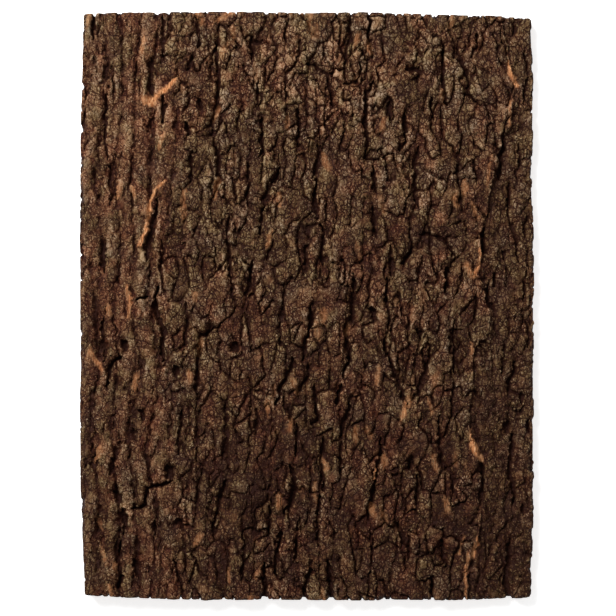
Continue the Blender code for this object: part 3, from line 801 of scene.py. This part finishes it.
def bark_relief(x, y):
    # The height of the bark about its middle level, in millimetres, and what its colour follows
    bark = lay_out_bark(x, y)
    add_shared_layers(bark)
    heights, shades = zip(scaly_bark(bark), fibrous_bark(bark), stripped_bark(bark))
    cut, flank = cut_fissures(bark)
    raw, edge = lay_cork_bare(bark)
    height = by_kind(bark, *heights) - cut * (1 - ease(2 * raw)) - flank
    height = height + RAW_CORK_HEIGHT * raw + WARP_HEIGHT * swell(x, y, WARP, 51)

    # Scales keep their own shade: some are pale, some dark, some rusty, some grey
    shade = by_kind(bark, *shades) + 0.6 * rough(x, y, (60 * MM, 80 * MM), 501, 3, 0.7)
    # Painted light: the falloff of the lamp's light across the bark is painted into its shade
    shade = shade + painted_light_falloff(x, y)
    warmth = 0.7 * (shake(bark.loose_mark, 59.0) - 0.5)
    warmth = warmth + 1.1 * rough(*bark.torn, (16 * MM, 26 * MM), 521, 3, 0.6)
    warmth = warmth * (1 - 0.6 * bark.stripped) + 0.25 * bark.fibrous - 0.2 * bark.stripped + 0.8 * edge
    shade, warmth = add_patches(bark, shade, warmth)

    # A few splinters have snapped and show raw cork too
    snapped = 0.35 * ease((bark.splinter_mark - 0.985) / 0.01) * (1 - bark.stripped)
    raw = np.maximum(raw, snapped)
    return height, {"shade": shade, "warmth": warmth, "raw_cork": raw, "fibrous": bark.fibrous}


def squeeze(height):
    # Brings the highest crests and the deepest cracks in, so that the bark stays inside its solid
    height = height - MEAN_HEIGHT
    crests = height / (1 + height / CREST_LIMIT)
    hollows = height / (1 - height / HOLLOW_LIMIT)
    return np.where(height > 0, crests, hollows) * MM


def outline(u, v):
    # Grid places from 0 to 1 as places on the slab, inside its waving sides and rounded corners
    x = (u - 0.5) * SLAB_WIDTH
    y = (v - 0.5) * SLAB_LENGTH
    corner_x = np.maximum(np.abs(x) - SLAB_WIDTH / 2 + CORNER_RADIUS, 0.0)
    corner_y = np.maximum(np.abs(y) - SLAB_LENGTH / 2 + CORNER_RADIUS, 0.0)
    reach = np.sqrt(corner_x ** 2 + corner_y ** 2)
    pull = np.where(reach > 0, np.maximum(corner_x, corner_y) / np.maximum(reach, 1e-9), 1.0)
    x = x - np.sign(x) * corner_x * (1 - pull)
    y = y - np.sign(y) * corner_y * (1 - pull)
    share_x = x / SLAB_WIDTH + 0.5
    share_y = y / SLAB_LENGTH + 0.5
    side_x = across_at(LEFT_SIDE, y) * (1 - share_x) + across_at(RIGHT_SIDE, y) * share_x
    side_y = along_at(BOTTOM_SIDE, x) * (1 - share_y) + along_at(TOP_SIDE, x) * share_y
    return side_x, side_y


def from_rim(u, v):
    # How far each grid place is from the nearest side
    return np.minimum(np.minimum(u, 1 - u) * SLAB_WIDTH, np.minimum(v, 1 - v) * SLAB_LENGTH)


def nick(rim_height, inwards, chip_depth, seed):
    # How far a side is pulled in: furthest at its rim, where a crack in the bark runs out through it, and
    # where a bit of bark has come off
    low = ease((smooth(rim_height, RIM_SPAN) - rim_height) / NICK_HEIGHT)
    along = np.arange(rim_height.size).reshape(rim_height.shape) * FACE_STEP
    chip = ease(0.5 + 4 * rough(along, along * 0, (16 * MM, 16 * MM), seed, 3, 0.7))
    return (NICK_DEPTH * low + chip_depth * chip) * ease(1 - inwards / NICK_REACH)


def add_sheet(step):
    # A square grid to be shaped, with the place of each of its points from 0 to 1 each way
    columns = round(SLAB_WIDTH / step)
    rows = round(SLAB_LENGTH / step)
    bpy.ops.object.select_all(action="DESELECT")
    bpy.ops.mesh.primitive_grid_add(x_subdivisions=columns, y_subdivisions=rows, size=1)
    sheet = bpy.context.object
    places = points_of(sheet).reshape(rows + 1, columns + 1, 3)
    return sheet, places[..., 0] + 0.5, places[..., 1] + 0.5


def points_of(piece):
    # The places of a piece's points, a row each
    places = np.empty(len(piece.data.vertices) * 3)
    piece.data.vertices.foreach_get("co", places)
    return places.reshape(-1, 3)


def move_points(piece, places):
    piece.data.vertices.foreach_set("co", places.ravel())
    piece.data.update()


def add_fact(piece, name, values):
    # A number at each point, which the piece's material reads
    layer = piece.data.attributes.new(name, "FLOAT", "POINT")
    layer.data.foreach_set("value", values.astype(np.float32).ravel())


def thin(sheet, triangles):
    # Keeps only so many triangles, most of them where the sheet is rough
    modifier = sheet.modifiers.new("Thin to the relief", "DECIMATE")
    modifier.ratio = triangles / (2 * len(sheet.data.polygons))
    bpy.ops.object.modifier_apply(modifier=modifier.name)


def model_face():
    # The bark face: a fine grid raised to the relief, then thinned where the bark is plain
    sheet, u, v = add_sheet(FACE_STEP)
    height, facts = bark_relief((u - 0.5) * SLAB_WIDTH, (v - 0.5) * SLAB_LENGTH)
    z = BARK_LEVEL + squeeze(height) - RIM_WEAR * ease(1 - from_rim(u, v) / RIM_WEAR_WIDTH)
    z = np.minimum(z, SLAB_TOP)
    x, y = outline(u, v)
    x = x + nick(z[:, :1], u * SLAB_WIDTH, RIM_CHIP, 81)
    x = x - nick(z[:, -1:], (1 - u) * SLAB_WIDTH, TORN_RIM_CHIP, 83)
    y = y + nick(z[:1], v * SLAB_LENGTH, RIM_CHIP, 85)
    y = y - nick(z[-1:], (1 - v) * SLAB_LENGTH, RIM_CHIP, 87)
    move_points(sheet, np.stack([x, y, z], axis=-1))
    # How deep each hollow and crevice is and how high each crest is, which the material darkens as painted
    # shade and lightens as painted highlight
    facts["hollow"] = (smooth(z, HOLLOW_SPAN) - z) / MM
    facts["crevice"] = (smooth(z, CREVICE_SPAN) - z) / MM
    facts["crest"] = (z - smooth(z, CREST_SPAN)) / MM
    for name, values in facts.items():
        add_fact(sheet, name, values)
    thin(sheet, FACE_TRIANGLES)
    return sheet


def model_back():
    # The flat back, with the shallow pits of the cork's pores. It starts a little inside the sides
    sheet, u, v = add_sheet(BACK_STEP)
    x, y = outline(u, v)
    x = x * (1 - 2 * BACK_EDGE / SLAB_WIDTH)
    y = y * (1 - 2 * BACK_EDGE / SLAB_LENGTH)
    pits = ease((rough(x, y, (7 * MM, 16 * MM), 601, 3, 0.6) - 0.32) / 0.2)
    z = PORE_DEPTH * (pits * ease(from_rim(u, v) / BACK_MARGIN - 1))
    move_points(sheet, np.stack([x, y, z], axis=-1))
    thin(sheet, BACK_TRIANGLES)
    return sheet


def select_rim():
    # The open edges of a sheet
    bpy.ops.mesh.select_all(action="DESELECT")
    bpy.ops.mesh.select_non_manifold(
        extend=False, use_wire=False, use_boundary=True,
        use_multi_face=False, use_non_contiguous=False, use_verts=False,
    )


def drop_sides():
    # The sawn sides: the face's rim is drawn down towards the back in rings
    bpy.ops.object.mode_set(mode="EDIT")
    bpy.ops.mesh.select_mode(type="EDGE")
    select_rim()
    above = 1.0
    for share in SIDE_RINGS:
        bpy.ops.mesh.extrude_region_move()
        bpy.ops.transform.resize(
            value=(1, 1, share / above), center_override=(0, 0, 0), orient_type="GLOBAL"
        )
        above = share
    bpy.ops.object.mode_set(mode="OBJECT")


def pit_sides(slab, face_points):
    # Sawn cork is pitted where its pores were cut through: they run from the back to the bark
    places = points_of(slab)
    x, y, z = places[face_points:].T
    beside = np.abs(x) / SLAB_WIDTH > np.abs(y) / SLAB_LENGTH
    along = np.where(beside, y, x + SLAB_LENGTH)
    pit = ease((rough(along, z, (4 * MM, 14 * MM), 611, 3, 0.6) - 0.2) / 0.3)
    depth = PORE_DEPTH * pit + SAW_MARKS * (1 + rough(along, z, (2 * MM, 2 * MM), 621, 2))
    places[face_points:, 0] = x - np.where(beside, np.sign(x) * depth, 0.0)
    places[face_points:, 1] = y - np.where(beside, 0.0, np.sign(y) * depth)
    move_points(slab, places)

    # How far up the side a point is, which the dark crust under the bark follows
    upness = np.ones(len(places))
    upness[face_points:] = np.repeat(SIDE_RINGS, (len(places) - face_points) // len(SIDE_RINGS))
    add_fact(slab, "upness", upness)


def model_slab():
    # The face, the sides drawn down from it, and the back bridged to them, as one closed piece
    slab = model_face()
    slab.name = "bark_slab"
    slab.data.name = "bark_slab"
    slab.data.materials.append(weathered_cork_bark())
    slab.data.materials.append(sawn_cork())
    face_points = len(slab.data.vertices)
    face_facets = len(slab.data.polygons)
    drop_sides()
    pit_sides(slab, face_points)
    for facet in slab.data.polygons[face_facets:]:
        facet.material_index = 1
    back = model_back()
    back.data.materials.append(cork_belly())
    slab.select_set(True)
    bpy.context.view_layer.objects.active = slab
    bpy.ops.object.join()
    bpy.ops.object.mode_set(mode="EDIT")
    bpy.ops.mesh.select_mode(type="EDGE")
    select_rim()
    bpy.ops.mesh.bridge_edge_loops()
    bpy.ops.mesh.select_all(action="SELECT")
    bpy.ops.mesh.quads_convert_to_tris()
    bpy.ops.mesh.normals_make_consistent(inside=False)
    bpy.ops.object.mode_set(mode="OBJECT")

    # Points that thinning pushed out of the slab's own box are brought back to it
    move_points(slab, np.clip(points_of(slab), slab_low, slab_high))
    bpy.ops.object.shade_smooth_by_angle(angle=math.radians(SMOOTH_ANGLE))
    return slab


def linear(code):
    # An sRGB hex colour as the linear one that a shader takes
    parts = [int(code[start:start + 2], 16) / 255 for start in (1, 3, 5)]
    parts = [part / 12.92 if part <= 0.04045 else ((part + 0.055) / 1.055) ** 2.4 for part in parts]
    return (*parts, 1.0)


def add_node(tree, kind, inputs, output=0, **settings):
    # Adds a node with its settings, and gives the output asked for. An input is a value, or another
    # node's output, which is linked to it
    node = tree.nodes.new("ShaderNode" + kind)
    for name, value in settings.items():
        setattr(node, name, value)
    for name, value in inputs.items():
        if isinstance(value, bpy.types.NodeSocket):
            tree.links.new(value, node.inputs[name])
        else:
            node.inputs[name].default_value = value
    return node.outputs[output]


def set_ramp(ramp, stops):
    # Gives a colour ramp its colours: pairs of a place from 0 to 1 and an sRGB hex colour
    elements = ramp.node.color_ramp.elements
    for number, (place, code) in enumerate(stops):
        element = elements[number] if number < 2 else elements.new(place)
        element.position = place
        element.color = linear(code)


def new_material(name):
    # A material, its node tree and its shader
    material = bpy.data.materials.new(name)
    material.use_nodes = True
    return material, material.node_tree, material.node_tree.nodes["Principled BSDF"]


def finish_material(tree, shader, colour, height, depth, roughness, gloss):
    # Gives the shader its colour, its relief of the given depth, its roughness and its gloss
    tree.links.new(colour, shader.inputs["Base Color"])
    bump = add_node(tree, "Bump", {"Height": height, "Distance": depth})
    tree.links.new(bump, shader.inputs["Normal"])
    shader.inputs["Roughness"].default_value = roughness
    shader.inputs["Specular IOR Level"].default_value = gloss


def crack_net(tree, place, spacing, gone, plain):
    # A net of fine cracks, which wander because their places are shifted by noise. It gives the cracks
    # and the rounded crumbs between them, both from 0 to 1, and neither where a slow noise is below gone
    stray = add_node(
        tree, "TexNoise", {"Vector": place, "Scale": 1 / (0.9 * spacing), "Detail": 3.0}, "Color"
    )
    stray = add_node(tree, "VectorMath", {0: stray, 1: (0.6 * spacing,) * 3}, operation="MULTIPLY")
    bent = add_node(tree, "VectorMath", {0: place, 1: stray}, operation="ADD")
    bent = add_node(tree, "Mapping", {"Vector": bent, "Scale": (1.0, 0.7, 0.0)})
    net = add_node(
        tree, "TexVoronoi", {"Vector": bent, "Scale": 1 / spacing}, "Distance",
        voronoi_dimensions="2D", feature="DISTANCE_TO_EDGE",
    )
    where = add_node(
        tree, "TexNoise", {"Vector": place, "Scale": 1 / (2.8 * spacing), "Detail": 2.0}
    )
    where = add_node(
        tree, "MapRange", {"Value": where, "From Min": gone, "From Max": gone + 0.12}
    )
    where = add_node(tree, "Math", {0: where, 1: plain}, operation="MULTIPLY")
    width = CRACK_WIDTH / spacing
    crack = add_node(tree, "MapRange", {"Value": net, "From Min": width, "From Max": 0.3 * width})
    crack = add_node(tree, "Math", {0: crack, 1: where}, operation="MULTIPLY")
    dip = add_node(
        tree, "MapRange", {"Value": net, "From Min": 0.2, "From Max": 0.0},
        interpolation_type="SMOOTHSTEP",
    )
    dip = add_node(tree, "Math", {0: dip, 1: where}, operation="MULTIPLY")
    crumb = add_node(tree, "Math", {0: 1.0, 1: dip}, operation="SUBTRACT")
    return crack, crumb


def cork_grit(tree, place):
    # Grains of cork, each with its own shade, and dust. Some places are coarser
    grain = add_node(tree, "TexVoronoi", {"Vector": place, "Scale": 1 / GRAIN_SIZE}, "Color")
    grain = add_node(tree, "SeparateColor", {0: grain})
    dust = add_node(tree, "TexNoise", {"Vector": place, "Scale": 1 / DUST_SIZE, "Detail": 1.0})
    grit = add_node(tree, "Math", {0: dust, 1: 1.4, 2: -1.2}, operation="MULTIPLY_ADD")
    grit = add_node(tree, "Math", {0: grain, 1: 1.0, 2: grit}, operation="MULTIPLY_ADD")
    coarse = add_node(tree, "TexNoise", {"Vector": place, "Scale": 1 / COARSE_SIZE, "Detail": 2.0})
    coarse = add_node(
        tree, "MapRange",
        {"Value": coarse, "From Min": 0.35, "From Max": 0.65, "To Min": 0.3, "To Max": 1.7},
    )
    return add_node(tree, "Math", {0: grit, 1: coarse}, operation="MULTIPLY")


def bark_colour(tree, place, tone, facts):
    # The tone's colour, which is grey or olive where the bark is cool, and rusty where it is warm
    colours = {}
    for name, codes in BARK_COLOURS.items():
        colours[name] = add_node(tree, "ValToRGB", {0: tone})
        set_ramp(colours[name], zip(BARK_TONES, codes))
    lichen = add_node(tree, "TexNoise", {"Vector": place, "Scale": 1 / LICHEN_SIZE, "Detail": 3.0})
    greenish = add_node(tree, "MapRange", {"Value": lichen, "From Min": 0.4, "From Max": 0.56})
    cool = {SHARE: greenish, FIRST: colours["grey"], SECOND: colours["olive"]}
    cool = add_node(tree, "Mix", cool, MIXED, data_type="RGBA")
    stain = add_node(tree, "TexNoise", {"Vector": place, "Scale": 1 / STAIN_SIZE, "Detail": 4.0})
    warm = add_node(tree, "Math", {0: facts["warmth"], 1: 0.45, 2: stain}, operation="MULTIPLY_ADD")
    warm = add_node(tree, "MapRange", {"Value": warm, "From Min": 0.34, "From Max": 0.95})
    mixed = {SHARE: warm, FIRST: cool, SECOND: colours["rusty"]}
    return add_node(tree, "Mix", mixed, MIXED, data_type="RGBA")


def weathered_cork_bark():
    # Weathered cork bark: dry, dull and crumbly. Its scales are brown, grey, olive and rusty. Cracks and
    # crevices are nearly black, partly as painted shade; crests are pale, partly worn and partly painted
    # highlight; torn places show raw tan cork
    material, tree, shader = new_material("weathered_cork_bark")
    place = add_node(tree, "TexCoord", {}, "Object")
    facts = {}
    for name in ("shade", "warmth", "raw_cork", "fibrous", "hollow", "crevice", "crest"):
        facts[name] = add_node(tree, "Attribute", {}, "Fac", attribute_name=name)

    # Two nets of cracks, which come and go, and are faint along the fibrous side
    plain = add_node(tree, "Math", {0: facts["fibrous"], 1: -0.35, 2: 1.0}, operation="MULTIPLY_ADD")
    crack, crumb = crack_net(tree, place, PLATE_CRACKS, 0.38, plain)
    fine_crack, fine_crumb = crack_net(tree, place, CRUMB_CRACKS, 0.4, plain)

    # Mottling, streaks along the grain, and pale specks: partly crumbs of fresh cork and dust, partly
    # painted glints
    grit = cork_grit(tree, place)
    grainwise = add_node(tree, "Mapping", {"Vector": place, "Scale": (1.0, 0.12, 1.0)})
    mottle = add_node(tree, "TexNoise", {"Vector": place, "Scale": 1 / MOTTLE_SIZE, "Detail": 4.0})
    streak = add_node(tree, "TexNoise", {"Vector": grainwise, "Scale": 1 / STREAK_SIZE, "Detail": 3.0})
    fleck_and_glint = add_node(tree, "TexNoise", {"Vector": place, "Scale": 1 / FLECK_AND_GLINT_SIZE, "Detail": 1.0})
    fleck_and_glint = add_node(tree, "MapRange", {"Value": fleck_and_glint, "From Min": 0.64, "From Max": 0.74})

    # The tone: 0 is the dark of a crack, 0.5 is middling bark and 1 is the palest crest. Each pattern
    # counts by how far it is from its own middle
    tone = add_node(tree, "Math", {0: facts["shade"], 1: 0.2, 2: 0.395}, operation="MULTIPLY_ADD")
    # Hollows and crevices count darker, as painted shade, and crests lighter, partly as worn crests and
    # partly as painted highlight
    for pattern, middle, strength in (
        (grit, 0.0, 0.48), (mottle, 0.5, 0.34), (streak, 0.5, 0.45),
        (facts["hollow"], 0.0, -0.03), (facts["crevice"], 0.0, -0.03), (facts["crest"], 0.0, 0.09),
        (crack, 0.0, -0.65), (fine_crack, 0.0, -0.5), (fleck_and_glint, 0.0, 0.65),
    ):
        about = add_node(tree, "Math", {0: pattern, 1: middle}, operation="SUBTRACT")
        tone = add_node(tree, "Math", {0: about, 1: strength, 2: tone}, operation="MULTIPLY_ADD")
    colour = bark_colour(tree, place, tone, facts)

    # Deep crevices are painted a dark red-brown: painted shade in the recesses, with the red-brown of a
    # crack's inside
    painted_crevice_shade = add_node(tree, "MapRange", {"Value": facts["crevice"], "From Min": 1.4, "From Max": 4.5})
    colour = add_node(
        tree, "Mix", {SHARE: painted_crevice_shade, FIRST: colour, SECOND: linear("#2a0f05")}, MIXED, data_type="RGBA"
    )

    # Raw cork where the bark is torn, in pale fibres
    fibres = add_node(tree, "TexNoise", {"Vector": grainwise, "Scale": 1 / FIBRE_SIZE, "Detail": 3.0})
    cork = add_node(tree, "ValToRGB", {0: fibres})
    set_ramp(cork, ((0.3, "#96562f"), (0.5, "#d08b59"), (0.7, "#f0bd8c")))
    colour = add_node(
        tree, "Mix", {SHARE: facts["raw_cork"], FIRST: colour, SECOND: cork}, MIXED, data_type="RGBA"
    )

    # Crumbs, grit and fibres, as bump
    height = crumb
    for pattern, strength in ((fine_crumb, 0.5), (grit, 0.9), (mottle, 0.9), (streak, 0.9)):
        height = add_node(
            tree, "Math", {0: pattern, 1: strength, 2: height}, operation="MULTIPLY_ADD"
        )
    finish_material(tree, shader, colour, height, depth=0.8 * MM, roughness=0.65, gloss=0.15)
    return material


def pitted_grain(tree, place, pore):
    # The relief of cut cork: a fine grain, with its pores sunk in it
    grain = add_node(tree, "TexNoise", {"Vector": place, "Scale": 1 / SAWN_GRAIN, "Detail": 3.0})
    return add_node(tree, "Math", {0: pore, 1: -1.5, 2: grain}, operation="MULTIPLY_ADD")


def sawn_cork():
    # Sawn cork: matt tan-brown with growth bands along the slab, dark pores cut through and a dark crust
    material, tree, shader = new_material("sawn_cork")
    place = add_node(tree, "TexCoord", {}, "Object")
    layered = add_node(tree, "Mapping", {"Vector": place, "Scale": (0.06, 0.06, 1.0)})
    bands = add_node(tree, "TexNoise", {"Vector": layered, "Scale": 1 / GROWTH_BAND, "Detail": 3.0})
    cork = add_node(tree, "ValToRGB", {0: bands})
    set_ramp(cork, ((0.3, "#543a26"), (0.5, "#765437"), (0.72, "#94714f")))
    upright = add_node(tree, "Mapping", {"Vector": place, "Scale": (1.0, 1.0, 0.25)})
    pores = add_node(tree, "TexNoise", {"Vector": upright, "Scale": 1 / SIDE_PORE, "Detail": 3.0})
    pore = add_node(tree, "MapRange", {"Value": pores, "From Min": 0.56, "From Max": 0.66})
    colour = add_node(
        tree, "Mix", {SHARE: pore, FIRST: cork, SECOND: linear("#2e1b10")}, MIXED, data_type="RGBA"
    )

    # The crust's lower edge is ragged, as the pores are
    upness = add_node(tree, "Attribute", {}, "Fac", attribute_name="upness")
    ragged = add_node(tree, "Math", {0: pores, 1: 0.35, 2: upness}, operation="MULTIPLY_ADD")
    crust = add_node(tree, "MapRange", {"Value": ragged, "From Min": 0.78, "From Max": 0.98})
    colour = add_node(
        tree, "Mix", {SHARE: crust, FIRST: colour, SECOND: linear("#352114")}, MIXED, data_type="RGBA"
    )
    height = pitted_grain(tree, place, pore)
    finish_material(tree, shader, colour, height, depth=0.5 * MM, roughness=0.85, gloss=0.25)
    return material


def cork_belly():
    # The flat inner face of cork bark: matt tan with faint lengthwise streaks and many dark pores
    material, tree, shader = new_material("cork_belly")
    place = add_node(tree, "TexCoord", {}, "Object")
    grainwise = add_node(tree, "Mapping", {"Vector": place, "Scale": (1.0, 0.25, 1.0)})
    streaks = add_node(tree, "TexNoise", {"Vector": grainwise, "Scale": 1 / BACK_STREAK, "Detail": 5.0})
    cork = add_node(tree, "ValToRGB", {0: streaks})
    set_ramp(cork, ((0.3, "#7f5c41"), (0.5, "#936f4e"), (0.72, "#a5815c")))
    oval = add_node(tree, "Mapping", {"Vector": place, "Scale": (1.0, 0.45, 1.0)})
    pores = add_node(tree, "TexNoise", {"Vector": oval, "Scale": 1 / BACK_PORE, "Detail": 3.0})
    pore = add_node(tree, "MapRange", {"Value": pores, "From Min": 0.57, "From Max": 0.64})
    colour = add_node(
        tree, "Mix", {SHARE: pore, FIRST: cork, SECOND: linear("#4a2b17")}, MIXED, data_type="RGBA"
    )
    height = pitted_grain(tree, place, pore)
    finish_material(tree, shader, colour, height, depth=0.4 * MM, roughness=0.85, gloss=0.25)
    return material


def add_floor():
    # Matt white acrylic, lit a little from behind, as a product table is. It has no texture that shows,
    # and lies a hair below the slab, so that the two never share a plane
    bpy.ops.object.select_all(action="DESELECT")
    bpy.ops.mesh.primitive_plane_add(size=FLOOR_SIZE, location=(0, 0, -FLOOR_DROP))
    floor = bpy.context.object
    floor.name = "floor"
    material, _, shader = new_material("lit_white_acrylic")
    shader.inputs["Base Color"].default_value = (0.9, 0.9, 0.9, 1.0)
    shader.inputs["Roughness"].default_value = 0.9
    shader.inputs["Specular IOR Level"].default_value = 0.1
    shader.inputs["Emission Color"].default_value = (1.0, 1.0, 1.0, 1.0)
    shader.inputs["Emission Strength"].default_value = FLOOR_GLOW
    floor.data.materials.append(material)


def add_light():
    # One soft light from the upper left, and a white room
    world = bpy.data.worlds.new("white_room")
    world.use_nodes = True
    bpy.context.scene.world = world
    room = world.node_tree.nodes["Background"]
    room.inputs["Color"].default_value = (1.0, 1.0, 1.0, 1.0)
    room.inputs["Strength"].default_value = ROOM_LIGHT
    lamp = bpy.data.lights.new("soft_light", "AREA")
    lamp.shape = "RECTANGLE"
    lamp.size = LAMP_SIZE
    lamp.size_y = LAMP_SIZE
    lamp.energy = LAMP_POWER
    holder = bpy.data.objects.new("soft_light", lamp)
    holder.location = LAMP_PLACE
    holder.rotation_euler = (-Vector(LAMP_PLACE)).to_track_quat("-Z", "Y").to_euler()
    bpy.context.scene.collection.objects.link(holder)


def add_camera():
    # Straight above the slab, and framed by the slab's box in the photograph
    pixel_x = SLAB_WIDTH / (PHOTO_RIGHT - PHOTO_LEFT)
    pixel_y = SLAB_LENGTH / (PHOTO_BOTTOM - PHOTO_TOP)
    x = (PHOTO_SIZE - PHOTO_LEFT - PHOTO_RIGHT) / 2 * pixel_x
    y = (PHOTO_TOP + PHOTO_BOTTOM - PHOTO_SIZE) / 2 * pixel_y
    camera = bpy.data.cameras.new("camera")
    camera.lens = camera.sensor_width * CAMERA_HEIGHT / (PHOTO_SIZE * pixel_x)
    camera.clip_end = VIEW_DEPTH
    holder = bpy.data.objects.new("camera", camera)
    holder.location = (x, y, RIM_LEVEL + CAMERA_HEIGHT)
    bpy.context.scene.collection.objects.link(holder)
    bpy.context.scene.camera = holder
    bpy.context.scene.view_settings.view_transform = "Standard"
    bpy.context.scene.view_settings.look = "None"


bark_slab = model_slab()
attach(bark_slab, "root")
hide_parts(SLAB)
add_floor()
add_light()
add_camera()
